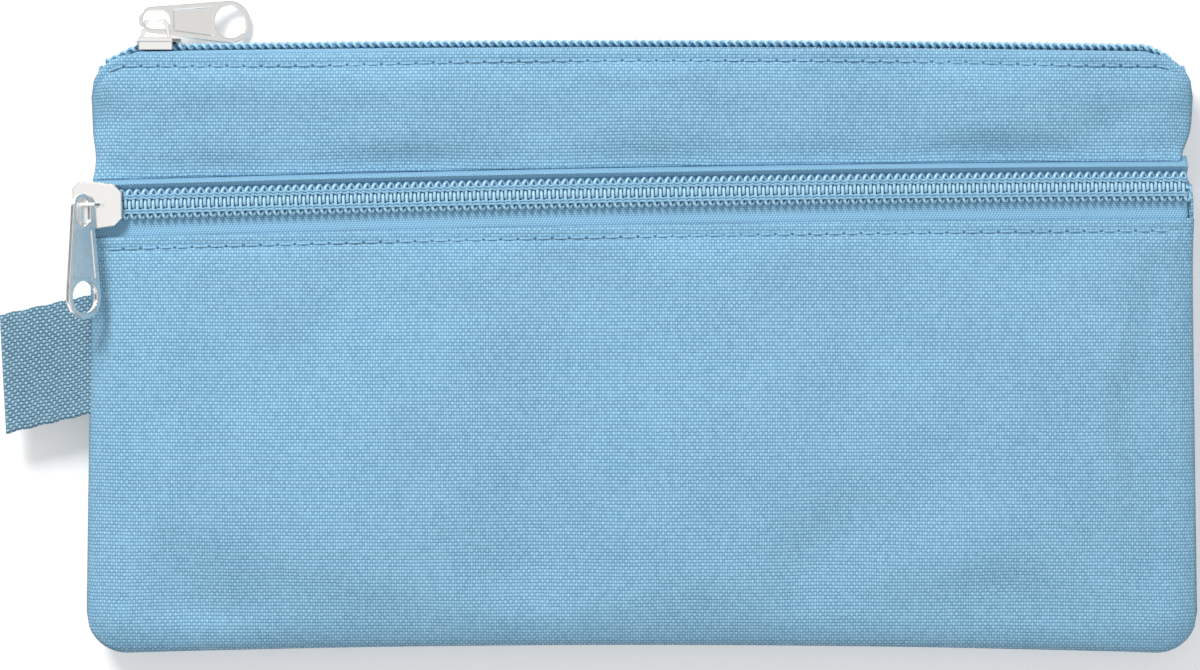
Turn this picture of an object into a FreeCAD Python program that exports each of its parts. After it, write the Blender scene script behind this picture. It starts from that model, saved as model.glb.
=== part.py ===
"""Flat zipped pencil case with a zipped front pocket, lying on its back.

Frame, in millimetres: +X runs along the zips to the right, +Y towards the top zip, +Z out of the
front. The origin is at the middle of the case on the face that the back rests on.
"""
import FreeCAD, Part
import math
import os

from FreeCAD import Placement, Rotation, Vector

doc = FreeCAD.newDocument("pencil_case")
sheet = doc.addObject("Spreadsheet::Sheet", "sizes")

SIZES = {
    # the case
    "case_length": 219.6, "case_height": 119.6, "case_thick": 13.0, "cloth": 0.6,
    "seam_level": 7.8, "corner": 8.5, "bottom_bow": 1.8, "side_taper": 0.8,
    "side_power": 20, "bottom_power": 12, "top_power": 8, "edge_lift": 16.0, "edge_level": 5.5,
    "front_top_drop": -0.35, "back_top_level": 2.7, "rest_flat": 0.3, "seam_gap": 0.1,
    # zip chain, number 5 coil
    "tape_thick": 0.6, "tape_width": 6.4, "coil_width": 2.45, "coil_deep": 1.6, "coil_gap": 1.4,
    "cord_size": 0.7, "cord_play": 0.1, "coil_round": 0.7,
    # pocket zip
    "pocket_zip_middle": 30.3, "pocket_zip_level": 10.6, "pocket_zip_slope": 1.0,
    "mouth_above": 5.1, "mouth_below": 6.3, "mouth_dip": 0.95, "mouth_soft": 6.0,
    "zip_end_lift": 4.3, "zip_end_soft": 11.0,
    "divider_level": 6.2, "divider_inset": 1.0, "divider_rise": 3.2, "divider_gap": 0.3,
    # top zip
    "top_zip_level": 8.0, "top_zip_place": 58.8, "top_zip_reach": 206.0, "tape_bend": 0.8,
    "tape_flat": 3.45,
    "panel_top_gap": 1.5, "tape_lap": 2.5,
    # sliders
    "slider_length": 9.8, "slider_nose": 10.0, "slider_tail": 8.4, "plate_thick": 0.9,
    "under_plate": 6.8,
    "slider_play": 0.2, "post_wide": 1.0, "post_long": 2.6, "flange_thick": 0.8,
    "bridge_long": 6.2, "bridge_tall": 4.1, "bridge_wide": 0.7, "bridge_thick": 0.8,
    "top_bridge_back": 1.4, "pocket_bridge_back": 0.2,
    "top_slider_start": -96.4, "pocket_slider_start": -107.8, "notch_play": 0.4,
    # pullers
    "top_puller_length": 23.2, "pocket_puller_length": 24.6, "puller_wide": 8.6,
    "eye_wide": 5.2, "eye_bar": 0.85, "eye_long": 5.5, "puller_thick": 1.0, "puller_web": 0.6,
    "pull_rim": 1.1, "eye_slack": 1.3,
    "top_puller_droop": 22.0, "pocket_puller_turn": -50.0,
    # side tab
    "tab_width": 23.7, "tab_reach": 17.6, "tab_middle": -1.1, "tab_slope": 12.8,
    "webbing": 1.2, "tab_level": 7.8, "tab_gap": 0.3,
    # thread
    "stitch_pitch": 3.4, "stitch_long": 2.7, "thread": 0.45, "stitch_in": 2.0,
    "stitch_reach": 205.0,
}

for row, (alias, value) in enumerate(SIZES.items(), start=1):
    sheet.set(f"A{row}", alias)
    sheet.set(f"B{row}", str(value))
    sheet.setAlias(f"B{row}", alias)
doc.recompute()


def size(name):
    """The value of one named cell."""
    return float(sheet.get(name))


def bind(thing, **expressions):
    """Ties properties of a document object to cells; a bare alias needs no prefix."""
    for prop, expression in expressions.items():
        for alias in sorted(SIZES, key=len, reverse=True):
            expression = expression.replace(f"[{alias}]", f"sizes.{alias}")
        thing.setExpression(prop.replace("__", "."), expression)
    return thing


def add(kind, name, **expressions):
    """A document object with its properties tied to the sheet."""
    return bind(doc.addObject(kind, name), **expressions)


SUBPARTS = []


def subpart(thing, label, placement=None):
    """Names a finished piece, which is written to a file of that name."""
    thing.Label = label
    if placement is not None:
        thing.Placement = placement
    SUBPARTS.append(thing)
    return thing


# ---------------------------------------------------------------- the shape of the stuffed cloth

HALF_LENGTH = size("case_length") / 2
HALF_HEIGHT = size("case_height") / 2
CLOTH = size("cloth")
SLOPE = math.tan(math.radians(size("pocket_zip_slope")))


def bell(distance, spread):
    """A soft hump, 1 at no distance."""
    return math.exp(-(distance / spread) ** 2)


def ease(t):
    """Rises smoothly from 0 to 1 as t goes from 0 to 1."""
    t = min(max(t, 0.0), 1.0)
    return t * t * (3 - 2 * t)


def zip_line(x):
    """Y of the pocket zip's middle, which rises a little to the right."""
    return size("pocket_zip_middle") + SLOPE * x


def side_edge(y):
    """Half the case's length at y: the sides spread a little towards the bottom."""
    return HALF_LENGTH - size("side_taper") * y / HALF_HEIGHT


def bottom_edge(x):
    """Y of the bottom seam, which is drawn in at its middle."""
    return -(HALF_HEIGHT + size("bottom_bow") * ((x / HALF_LENGTH) ** 2 - 0.5))


def seam_level(x, y):
    """Height of the side and bottom seam, held up where the pocket zip runs into it."""
    return size("seam_level") + size("zip_end_lift") * bell(y - zip_line(x), size("zip_end_soft"))


def fullness(x, y, power_at_top):
    """0 on the seam and 1 where the case is stuffed full."""
    across = abs(x / side_edge(y)) ** size("side_power")
    if y < 0:
        along = abs(y / bottom_edge(x)) ** size("bottom_power")
    else:
        along = abs(y / HALF_HEIGHT) ** power_at_top if power_at_top else 0.0
    return (1 - across) * (1 - along)


def top_ease(y):
    """0 over most of the case, 1 at the top zip."""
    span = size("edge_lift") - size("edge_level")
    return ease((y - HALF_HEIGHT + size("edge_lift")) / span)


def front_height(x, y):
    """Outer face of the front cloth."""
    seam = seam_level(x, y) + CLOTH + size("seam_gap")
    crest_at_top = size("case_thick") - size("front_top_drop")
    edge = seam + (crest_at_top - seam) * top_ease(y)
    full = fullness(x, y, None)
    above = y - zip_line(x) - size("mouth_above")
    below = zip_line(x) - size("mouth_below") - y
    dip = size("mouth_dip") * bell(max(above, below, 0.0), size("mouth_soft"))
    crest = size("case_thick") - dip - size("front_top_drop") * top_ease(y)
    return edge + (crest - edge) * full


def back_height(x, y):
    """Outer face of the back cloth, flat where the case rests."""
    seam = seam_level(x, y) - CLOTH - size("seam_gap")
    edge = seam + (size("back_top_level") - seam) * top_ease(y)
    full = fullness(x, y, size("top_power"))
    return edge - (edge + size("rest_flat")) * full


def divider_height(x, y):
    """Upper face of the cloth between the pocket and the main space."""
    rise = ease((y - zip_line(x) - size("mouth_above")) / 2.5)
    level = size("divider_level") + size("divider_rise") * rise
    floor = back_height(x, y) + 2 * CLOTH + size("divider_gap")
    return (level + floor + math.hypot(level - floor, 1.0)) / 2


def grid_face(height, x_ends, y_ends, steps_x, steps_y):
    """A smooth face through heights on an even grid."""
    rows = []
    for i in range(steps_x + 1):
        x = x_ends[0] + (x_ends[1] - x_ends[0]) * i / steps_x
        ys = [y_ends[0] + (y_ends[1] - y_ends[0]) * j / steps_y for j in range(steps_y + 1)]
        rows.append([Vector(x, y, height(x, y)) for y in ys])
    surface = Part.BSplineSurface()
    surface.interpolate(rows)
    return surface.toShape()


def slab(height, inner_offset, x_ends, y_ends, steps_x, steps_y):
    """A closed sheet of cloth between a face and the same face moved inwards."""
    outer = grid_face(height, x_ends, y_ends, steps_x, steps_y)
    inner = outer.copy()
    inner.translate(Vector(0, 0, inner_offset))
    walls = []
    for edge in outer.OuterWire.Edges:
        low = edge.copy()
        low.translate(Vector(0, 0, inner_offset))
        walls.append(Part.makeRuledSurface(edge, low))
    solid = Part.Solid(Part.Shell([outer, inner] + walls))
    solid.fix(1e-4, 1e-4, 1e-4)
    if solid.Volume < 0:
        solid.reverse()
    return solid


def outline_prism(inset):
    """Upright block with the case's outline, drawn in by inset."""
    top = HALF_HEIGHT - inset
    half_top = side_edge(HALF_HEIGHT) - inset
    half_low = side_edge(-HALF_HEIGHT) - inset
    middle = bottom_edge(0) + inset
    low = bottom_edge(HALF_LENGTH) + inset
    points = [Vector(-half_top, top, -5), Vector(half_top, top, -5),
              Vector(half_low, low, -5), Vector(-half_low, low, -5)]
    edges = [Part.LineSegment(points[0], points[1]).toShape(),
             Part.LineSegment(points[1], points[2]).toShape(),
             Part.Arc(points[2], Vector(0, middle, -5), points[3]).toShape(),
             Part.LineSegment(points[3], points[0]).toShape()]
    block = Part.Face(Part.Wire(edges)).extrude(Vector(0, 0, size("case_thick") + 10))
    upright = [e for e in block.Edges if len(e.Vertexes) == 2
               and abs(e.Vertexes[0].Z - e.Vertexes[1].Z) > 1]
    return block.makeFillet(size("corner"), upright)


def band_block(low, high):
    """Upright block between two lines that follow the pocket zip."""
    far = HALF_LENGTH + 10
    corners = [Vector(x, zip_line(x) + offset, -4)
               for x, offset in ((-far, low), (far, low), (far, high), (-far, high))]
    return Part.makePolygon(corners + corners[:1]), Vector(0, 0, size("case_thick") + 8)


def between(low, high):
    wire, up = band_block(low, high)
    return Part.Face(wire).extrude(up)


def cloth_piece(name, shape):
    """A panel whose faces follow the formulas above."""
    piece = doc.addObject("Part::Feature", name)
    piece.Shape = shape
    return subpart(piece, name, Placement())


REACH = HALF_LENGTH + 1.5
SPAN_X = (-REACH, REACH)
LOW_Y = -HALF_HEIGHT - 2.5
FAR = 4 * HALF_HEIGHT
top_line = HALF_HEIGHT - size("panel_top_gap")
slider_reach = size("slider_nose") / 2 + size("notch_play")

front_outline = outline_prism(0.0).common(
    Part.makeBox(FAR * 2, FAR + top_line, 40, Vector(-FAR, -FAR, -10)))

upper = slab(front_height, -CLOTH, SPAN_X, (zip_line(-REACH), HALF_HEIGHT + 0.5), 60, 16)
cloth_piece("front_upper_panel", upper.common(front_outline).common(
    between(size("mouth_above"), FAR)))

pocket = slab(front_height, -CLOTH, SPAN_X, (LOW_Y, zip_line(REACH)), 60, 40)
cloth_piece("front_pocket_panel", pocket.common(front_outline).common(
    between(-FAR, -size("mouth_below"))))

tape_room = Part.makeBox(4 * REACH, 2 * (size("tape_width") + 2), 20,
                         Vector(-2 * REACH, -size("tape_width") - 2,
                                -size("tape_thick") / 2 - size("notch_play")))
tape_room.Placement = Placement(Vector(0, size("pocket_zip_middle"), size("pocket_zip_level")),
                                Rotation(Vector(0, 0, 1), size("pocket_zip_slope")))
back = slab(back_height, CLOTH, SPAN_X, (LOW_Y, HALF_HEIGHT + 0.5), 60, 56)
below_rest = Part.makeBox(2 * FAR, 2 * FAR, 10, Vector(-FAR, -FAR, -10))
nose_room = Part.makeBox(12, 2 * slider_reach, 20,
                         Vector(-REACH - 4, zip_line(-REACH) - slider_reach,
                                size("pocket_zip_level") - size("tape_thick") / 2
                                - size("slider_play") - size("plate_thick") - size("notch_play")))
cloth_piece("back_panel", back.common(front_outline).cut(below_rest).cut(nose_room).cut(tape_room))

divider = slab(divider_height, -CLOTH, SPAN_X, (LOW_Y, zip_line(REACH) + 12), 60, 60)
cloth_piece("pocket_divider", divider.common(outline_prism(size("divider_inset"))).common(
    between(-FAR, size("mouth_above") + 2.4)).cut(nose_room).cut(tape_room))

# ---------------------------------------------------------------- zips
# Each chain is drawn in its own frame: X along the chain, Y across it, Z out of its coil side,
# with the origin on the tape's middle plane.

POCKET_ZIP = Placement(Vector(0, size("pocket_zip_middle"), size("pocket_zip_level")),
                       Rotation(Vector(0, 0, 1), size("pocket_zip_slope")))
TOP_ZIP = Placement(Vector(0, size("top_zip_place"), size("top_zip_level")),
                    Rotation(Vector(1, 0, 0), -90))
COIL_EDGE = "([coil_gap] / 2 + [coil_width])"


def chain_side(prefix, side_name, side, length, place):
    """Coil with its filler cord on one side of the chain."""
    middle = f"{side} * ([coil_gap] / 2 + [coil_width] / 2)"
    bar = add("Part::Box", f"{prefix}_coil_bar_{side_name}", Length=length, Width="[coil_width]",
              Height="[coil_deep]", Placement__Base__x=f"-({length}) / 2",
              Placement__Base__y=f"{middle} - [coil_width] / 2",
              Placement__Base__z="[tape_thick] / 2")
    doc.recompute()
    rounded = doc.addObject("Part::Fillet", f"{prefix}_coil_round_{side_name}")
    rounded.Base = bar
    along = [i for i, e in enumerate(bar.Shape.Edges, start=1)
             if abs(e.tangentAt(e.FirstParameter).x) > 0.9]
    rounded.Edges = [(i, size("coil_round"), size("coil_round")) for i in along]
    bore = add("Part::Cylinder", f"{prefix}_coil_bore_{side_name}", Height=length,
               Radius="[cord_size] / 2 + [cord_play]")
    cord = add("Part::Cylinder", f"{prefix}_cord_bar_{side_name}", Height=length,
               Radius="[cord_size] / 2")
    for rod in (bore, cord):
        rod.Placement = Placement(Vector(), Rotation(Vector(0, 1, 0), 90))
        bind(rod, Placement__Base__x=f"-({length}) / 2", Placement__Base__y=middle,
             Placement__Base__z="[tape_thick] / 2 + [coil_deep] / 2")
    coil = doc.addObject("Part::Cut", f"{prefix}_coil_cut_{side_name}")
    coil.Base, coil.Tool = rounded, bore
    subpart(coil, f"{prefix}_coil_{side_name}", place)
    cord_fuse = doc.addObject("Part::Compound", f"{prefix}_cord_{side_name}_group")
    cord_fuse.Links = [cord]
    subpart(cord_fuse, f"{prefix}_cord_{side_name}", place)


POCKET_RUN = "([case_length] - 1.4)"
TOP_RUN = "[top_zip_reach]"
for side_name, side in (("upper", 1), ("lower", -1)):
    chain_side("pocket", side_name, side, POCKET_RUN, POCKET_ZIP)
for side_name, side in (("back", 1), ("front", -1)):
    chain_side("top", side_name, side, TOP_RUN, TOP_ZIP)


def flat_tape(side_name, side):
    """Woven tape of the pocket zip, which runs on under the edge of its panel."""
    inner = "([coil_gap] / 2 + 0.3)"
    start = inner if side > 0 else f"-({inner} + [tape_width])"
    tape = add("Part::Box", f"pocket_tape_bar_{side_name}", Length=POCKET_RUN,
               Width="[tape_width]", Height="[tape_thick]",
               Placement__Base__x=f"-{POCKET_RUN} / 2", Placement__Base__y=start,
               Placement__Base__z="-[tape_thick] / 2")
    group = doc.addObject("Part::Compound", f"pocket_tape_{side_name}_group")
    group.Links = [tape]
    subpart(group, f"pocket_tape_{side_name}", POCKET_ZIP)


def bent_tape(side_name, side):
    """Woven tape of the top zip: under the coil, round a bend and in under the panel's edge."""
    half, bend = size("tape_thick") / 2, size("tape_bend")
    inner = size("coil_gap") / 2 + 0.3
    turn = size("tape_flat")
    start = -size("top_zip_reach") / 2
    deep = bend + size("tape_lap") + size("panel_top_gap")

    def profile(radius_shift):
        radius = bend - radius_shift
        diagonal = radius * math.sqrt(0.5)
        return [Vector(start, inner, -radius_shift), Vector(start, turn, -radius_shift),
                Vector(start, turn + diagonal, -bend + diagonal),
                Vector(start, turn + radius, -bend), Vector(start, turn + radius, -deep)]

    out, inn = profile(-half), profile(half)
    edges = [Part.LineSegment(out[0], out[1]).toShape(),
             Part.Arc(out[1], out[2], out[3]).toShape(),
             Part.LineSegment(out[3], out[4]).toShape(),
             Part.LineSegment(out[4], inn[4]).toShape(),
             Part.LineSegment(inn[4], inn[3]).toShape(),
             Part.Arc(inn[3], inn[2], inn[1]).toShape(),
             Part.LineSegment(inn[1], inn[0]).toShape(),
             Part.LineSegment(inn[0], out[0]).toShape()]
    shape = Part.Face(Part.Wire(edges)).extrude(Vector(size("top_zip_reach"), 0, 0))
    if side < 0:
        shape = shape.mirror(Vector(), Vector(0, 1, 0))
    piece = doc.addObject("Part::Feature", f"top_tape_{side_name}")
    piece.Shape = shape
    subpart(piece, f"top_tape_{side_name}", TOP_ZIP)


flat_tape("upper", 1)
flat_tape("lower", -1)
bent_tape("back", 1)
bent_tape("front", -1)


def zip_end(name, side):
    """Folded ends of both top tapes, which close the side seam below the top zip."""
    low = HALF_HEIGHT - size("edge_lift") + 4.5
    high = HALF_HEIGHT - 3.4
    reach = side_edge(high) - 1.6
    thick = 1.0

    def at(y, part):
        bottom = back_height(reach, y) + CLOTH + 0.3
        top = front_height(reach, y) - CLOTH - 0.3
        return Vector(side * reach - thick / 2, y, bottom + (top - bottom) * part)

    ring = [at(low, 0), at((low + high) / 2, 0), at(high, 0),
            at(high, 1), at((low + high) / 2, 1), at(low, 1)]
    piece = doc.addObject("Part::Feature", name)
    piece.Shape = Part.Face(Part.makePolygon(ring + ring[:1])).extrude(Vector(thick, 0, 0))
    subpart(piece, name, Placement())


zip_end("top_zip_end_left", -1)
zip_end("top_zip_end_right", 1)


# ---------------------------------------------------------------- sliders

PLATE_UNDER = size("tape_thick") / 2 + size("coil_deep") + size("slider_play")
PLATE_TOP = PLATE_UNDER + size("plate_thick")
LOWER_TOP = -size("tape_thick") / 2 - size("slider_play")
BRIDGE_START = {zip_name: -size("slider_length") / 2 + size(f"{zip_name}_bridge_back")
                for zip_name in ("top", "pocket")}


def plane_of(body, role):
    """One of a body's own origin planes."""
    return next(f for f in body.Origin.OriginFeatures if f.Role == role)


def sketch_on(body, name, role, level):
    sketch = body.newObject("Sketcher::SketchObject", name)
    sketch.AttachmentSupport = [(plane_of(body, role), "")]
    sketch.MapMode = "FlatFace"
    sketch.AttachmentOffset = Placement(Vector(0, 0, level), Rotation())
    return sketch


def ring_of(sketch, points):
    """Closed straight-sided outline."""
    for start, end in zip(points, points[1:] + points[:1]):
        sketch.addGeometry(Part.LineSegment(Vector(*start, 0), Vector(*end, 0)), False)


def pad(body, name, sketch, length, both_ways=False):
    feature = body.newObject("PartDesign::Pad", name)
    feature.Profile = sketch
    feature.Midplane = both_ways
    bind(feature, Length=length)
    sketch.Visibility = False
    return feature


def soften(body, name, radius, chosen):
    """Rounds the edges of a body that a test picks."""
    doc.recompute()
    base = body.Tip
    edges = [f"Edge{i}" for i, edge in enumerate(base.Shape.Edges, start=1) if chosen(edge)]
    fillet = body.newObject("PartDesign::Fillet", name)
    fillet.Base = (base, edges)
    fillet.Radius = radius
    body.Tip = fillet


def lies_at(edge, level):
    """True for an edge whose ends are at one height of the body's own Z."""
    return all(abs(vertex.Z - level) < 1e-6 for vertex in edge.Vertexes)


def slider_body(prefix, place):
    """Two plates joined by the wedge between the coils, with flanges that wrap the chain."""
    body = doc.addObject("PartDesign::Body", f"{prefix}_slider_casting")
    half, nose, tail = size("slider_length") / 2, size("slider_nose") / 2, size("slider_tail") / 2
    cut = 1.6
    plan = [(-half, -nose + cut), (-half + cut, -nose), (-half + 0.45 * half * 2, -nose + 0.3),
            (half - cut, -tail), (half, -tail + cut), (half, tail - cut), (half - cut, tail),
            (-half + 0.45 * half * 2, nose - 0.3), (-half + cut, nose), (-half, nose - cut)]
    upper = sketch_on(body, f"{prefix}_upper_plan", "XY_Plane", PLATE_UNDER)
    ring_of(upper, plan)
    pad(body, f"{prefix}_upper_plate", upper, "[plate_thick]")
    post_start = -half + 0.9
    post = sketch_on(body, f"{prefix}_post_plan", "XY_Plane",
                     LOWER_TOP - size("plate_thick") / 2)
    wide, long = size("post_wide") / 2, size("post_long")
    ring_of(post, [(post_start, -wide), (post_start + long * 0.5, -wide), (post_start + long, 0),
                   (post_start + long * 0.5, wide), (post_start, wide)])
    pad(body, f"{prefix}_post", post,
        "[tape_thick] + [coil_deep] + 2 * [slider_play] + [plate_thick]")
    lower = sketch_on(body, f"{prefix}_lower_plan", "XY_Plane", LOWER_TOP - size("plate_thick"))
    inside = size("under_plate") / 2
    ring_of(lower, [(-half, -inside + cut), (-half + cut, -inside), (half - cut, -inside),
                    (half, -inside + cut), (half, inside - cut), (half - cut, inside),
                    (-half + cut, inside), (-half, inside - cut)])
    pad(body, f"{prefix}_lower_plate", lower, "[plate_thick]")
    edge = size("coil_gap") / 2 + size("coil_width") + size("slider_play")
    for side_name, side in (("left", 1), ("right", -1)):
        flange = sketch_on(body, f"{prefix}_{side_name}_flange_plan", "XY_Plane",
                           size("tape_thick") / 2 + size("slider_play"))
        outer = min(edge + size("flange_thick"), tail)
        ring_of(flange, [(-half + cut, side * edge), (half - cut, side * edge),
                         (half - cut, side * outer), (-half + cut, side * outer)])
        pad(body, f"{prefix}_{side_name}_flange", flange, "[coil_deep] + [plate_thick] / 2")
    soften(body, f"{prefix}_soft_edges", 0.3, lambda edge: lies_at(edge, PLATE_TOP))
    subpart(body, f"{prefix}_slider_body", place)


def slider_bridge(prefix, place):
    """Strap that arches over the slider's front half and holds the puller's eye."""
    body = doc.addObject("PartDesign::Body", f"{prefix}_slider_strap")
    tall, long, thick = size("bridge_tall"), size("bridge_long"), size("bridge_thick")
    start = BRIDGE_START[prefix]
    arch = sketch_on(body, f"{prefix}_arch", "XZ_Plane", 0)

    def half_ring(inset):
        lean = 0.5
        return [(start + inset, PLATE_TOP), (start + lean + inset, PLATE_TOP + tall - 1.0 - inset * 0.6),
                (start + 1.5 + inset * 0.5, PLATE_TOP + tall - inset),
                (start + long - 1.5 - inset * 0.5, PLATE_TOP + tall - inset),
                (start + long - lean - inset, PLATE_TOP + tall - 1.0 - inset * 0.6),
                (start + long - inset, PLATE_TOP)]

    ring_of(arch, half_ring(0.0) + half_ring(thick)[::-1])
    pad(body, f"{prefix}_strap", arch, "[bridge_wide]", both_ways=True)
    soften(body, f"{prefix}_strap_edges", 0.2,
           lambda edge: edge.BoundBox.YLength < 1e-6 and not lies_at(edge, PLATE_TOP))
    subpart(body, f"{prefix}_slider_bridge", place)


def puller(prefix, length, before, place):
    """Flat puller: narrow eye, recessed middle, wide end with a round hole.

    It is drawn along +X with the hinge line at the origin; before is how far it starts behind it.
    """
    body = doc.addObject("PartDesign::Body", f"{prefix}_pull_tab")
    eye, wide, bar = size("eye_wide") / 2, size("puller_wide") / 2, size("eye_bar")
    end = length - before
    centre, far_centre = eye - before, end - wide
    lean = math.asin((wide - eye) / (far_centre - centre))
    up, along = math.cos(lean), -math.sin(lean)
    eye_touch = (centre + eye * along, eye * up)
    wide_touch = (far_centre + wide * along, wide * up)
    edges = [
        Part.Arc(Vector(*eye_touch, 0), Vector(-before, 0, 0),
                 Vector(eye_touch[0], -eye_touch[1], 0)),
        Part.LineSegment(Vector(eye_touch[0], -eye_touch[1], 0),
                         Vector(wide_touch[0], -wide_touch[1], 0)),
        Part.Arc(Vector(wide_touch[0], -wide_touch[1], 0), Vector(end, 0, 0),
                 Vector(*wide_touch, 0)),
        Part.LineSegment(Vector(*wide_touch, 0), Vector(*eye_touch, 0)),
    ]
    half = size("puller_thick") / 2
    plan = sketch_on(body, f"{prefix}_pull_plan", "XY_Plane", -half)
    for edge in edges:
        plan.addGeometry(edge, False)
    eye_hole = eye - bar
    far = -before + bar + size("eye_long") - eye_hole
    near = -before + bar + eye_hole
    plan.addGeometry(Part.Arc(Vector(near, eye_hole), Vector(near - eye_hole, 0),
                              Vector(near, -eye_hole)), False)
    plan.addGeometry(Part.Arc(Vector(far, -eye_hole), Vector(far + eye_hole, 0),
                              Vector(far, eye_hole)), False)
    plan.addGeometry(Part.LineSegment(Vector(near, -eye_hole), Vector(far, -eye_hole)), False)
    plan.addGeometry(Part.LineSegment(Vector(far, eye_hole), Vector(near, eye_hole)), False)
    hole = wide - size("pull_rim")
    plan.addGeometry(Part.Circle(Vector(far_centre, 0, 0), Vector(0, 0, 1), hole), False)
    pad(body, f"{prefix}_pull_plate", plan, "[puller_thick]")
    deep = (size("puller_thick") - size("puller_web")) / 2
    start, stop = far + eye_hole + 0.9, far_centre - hole - 0.6
    share = math.tan(lean)
    low_half = eye + (start - centre) * share - size("pull_rim")
    high_half = eye + (stop - centre) * share - size("pull_rim")
    for face_name, level in (("front", half), ("rear", -half)):
        recess = sketch_on(body, f"{prefix}_{face_name}_recess_plan", "XY_Plane", level)
        ring_of(recess, [(start, -low_half), (stop, -high_half), (stop, high_half),
                         (start, low_half)])
        cut = body.newObject("PartDesign::Pocket", f"{prefix}_{face_name}_recess")
        cut.Profile = recess
        cut.Length = deep
        cut.Reversed = level < 0
    soften(body, f"{prefix}_pull_edges", 0.15,
           lambda edge: lies_at(edge, half) or lies_at(edge, -half))
    subpart(body, f"{prefix}_puller", place)


def along_chain(zip_place, distance):
    """Placement on a chain at a distance from its middle."""
    return zip_place.multiply(Placement(Vector(distance, 0, 0), Rotation()))


TOP_SLIDER = along_chain(TOP_ZIP, size("top_slider_start"))
POCKET_SLIDER = along_chain(POCKET_ZIP, size("pocket_slider_start"))
for prefix, place in (("top", TOP_SLIDER), ("pocket", POCKET_SLIDER)):
    slider_body(prefix, place)
    slider_bridge(prefix, place)

# The strap passes through each puller's eye, and each puller turns about the strap's middle line.
STRAP_LEVEL = PLATE_TOP + size("bridge_tall") - size("bridge_thick") / 2

# The top puller stands on edge across the strap and leans down to the table at its free end.
TOP_PIVOT = Vector(BRIDGE_START["top"] + size("bridge_long") / 2, 0, STRAP_LEVEL)
lean = Rotation(Vector(0, 0, 1), size("top_puller_droop")).multiply(
    Rotation(Vector(1, 0, 0), 90))
puller("top", size("top_puller_length"), size("eye_bar") + size("eye_long") / 2,
       TOP_SLIDER.multiply(Placement(TOP_PIVOT, lean)))

# The pocket puller hangs off the side of the strap.
POCKET_PIVOT = Vector(BRIDGE_START["pocket"] + 2.2, 0, STRAP_LEVEL)
hang = Rotation(Vector(0, 0, 1), -90).multiply(
    Rotation(Vector(1, 0, 0), size("pocket_puller_turn")))
puller("pocket", size("pocket_puller_length"), size("eye_bar") + size("eye_slack"),
       POCKET_SLIDER.multiply(Placement(POCKET_PIVOT, hang)))


# ---------------------------------------------------------------- side tab

def side_tab():
    """Webbing folded in two, cut along the seam, sloping down away from it.

    Its inner end is round about the line on which it flexes.
    """
    thick, reach, wide = size("webbing"), size("tab_reach"), size("tab_width")
    hollow = 0.25
    outer = thick + hollow / 2
    drop = math.tan(math.radians(size("tab_slope")))
    loop = doc.addObject("PartDesign::Body", "folded_webbing")
    profile = sketch_on(loop, "webbing_loop", "XZ_Plane", 0)
    tip = outer - reach
    for radius in (outer, hollow / 2):
        profile.addGeometry(Part.Arc(Vector(0, radius), Vector(radius, 0), Vector(0, -radius)),
                            False)
        profile.addGeometry(Part.LineSegment(Vector(0, -radius), Vector(tip, -radius)), False)
        profile.addGeometry(Part.Arc(Vector(tip, -radius), Vector(tip - radius, 0),
                                     Vector(tip, radius)), False)
        profile.addGeometry(Part.LineSegment(Vector(tip, radius), Vector(0, radius)), False)
    pad(loop, "webbing_width", profile, "2 * [tab_width]", both_ways=True)
    plan_body = doc.addObject("PartDesign::Body", "webbing_outline")
    plan = sketch_on(plan_body, "webbing_plan", "XY_Plane", 0)
    near, far = outer + 1, -reach - 1
    ring_of(plan, [(near, near * drop - wide / 2), (near, near * drop + wide / 2),
                   (far, far * drop + wide / 2), (far, far * drop - wide / 2)])
    pad(plan_body, "webbing_block", plan, "4 * [webbing]", both_ways=True)
    tab = doc.addObject("Part::Common", "webbing_tab")
    tab.Base, tab.Tool = loop, plan_body
    root = Vector(-side_edge(size("tab_middle")) - outer - size("tab_gap"), size("tab_middle"),
                  size("tab_level"))
    subpart(tab, "side_tab", Placement(root, Rotation()))
    return root


TAB_ROOT = side_tab()


# ---------------------------------------------------------------- topstitching

def stitch_row(name, line, height, lift):
    """A row of short threads that lie on the cloth along y = line(x)."""
    pitch, long, thread = size("stitch_pitch"), size("stitch_long"), size("thread")
    count = int(size("stitch_reach") / pitch)
    stitches = []
    for i in range(count):
        x = (i - (count - 1) / 2) * pitch
        y = line(x)
        levels = [height(x + dx, y + dy) for dx in (-long / 2, 0, long / 2)
                  for dy in (-thread / 2, thread / 2)]
        level = max(levels) + lift if lift > 0 else min(levels) + lift - thread
        stitches.append(Part.makeBox(long, thread, thread,
                                     Vector(x - long / 2, y - thread / 2, level)))
    piece = doc.addObject("Part::Feature", name)
    piece.Shape = Part.makeCompound(stitches)
    subpart(piece, name, Placement())


stitch_row("pocket_stitching", lambda x: zip_line(x) - size("mouth_below") - size("stitch_in"),
           front_height, 0.06)
stitch_row("front_edge_stitching", lambda x: top_line - size("stitch_in"), front_height, 0.06)
stitch_row("back_edge_stitching", lambda x: top_line - size("stitch_in"), back_height, -0.06)

# ---------------------------------------------------------------- check and write

doc.recompute()
for thing in doc.Objects:
    if "Invalid" in thing.State or "Error" in thing.State:
        raise RuntimeError(f"{thing.Name} failed: {thing.State}")
for thing in SUBPARTS:
    if thing.Shape.isNull() or not thing.Shape.isValid() or not thing.Shape.Solids:
        raise RuntimeError(f"{thing.Label} has no sound shape")

os.makedirs("parts", exist_ok=True)
for thing in SUBPARTS:
    thing.Shape.exportStep(f"parts/{thing.Label}.step")
    print(f"{thing.Label}: {len(thing.Shape.Solids)} solids, {thing.Shape.Volume:.1f} mm3")
top_hinge = TOP_SLIDER.multVec(TOP_PIVOT)
pocket_hinge = POCKET_SLIDER.multVec(POCKET_PIVOT)
print("top puller hinge", top_hinge, "pocket puller hinge", pocket_hinge, "tab line", TAB_ROOT)
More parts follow.
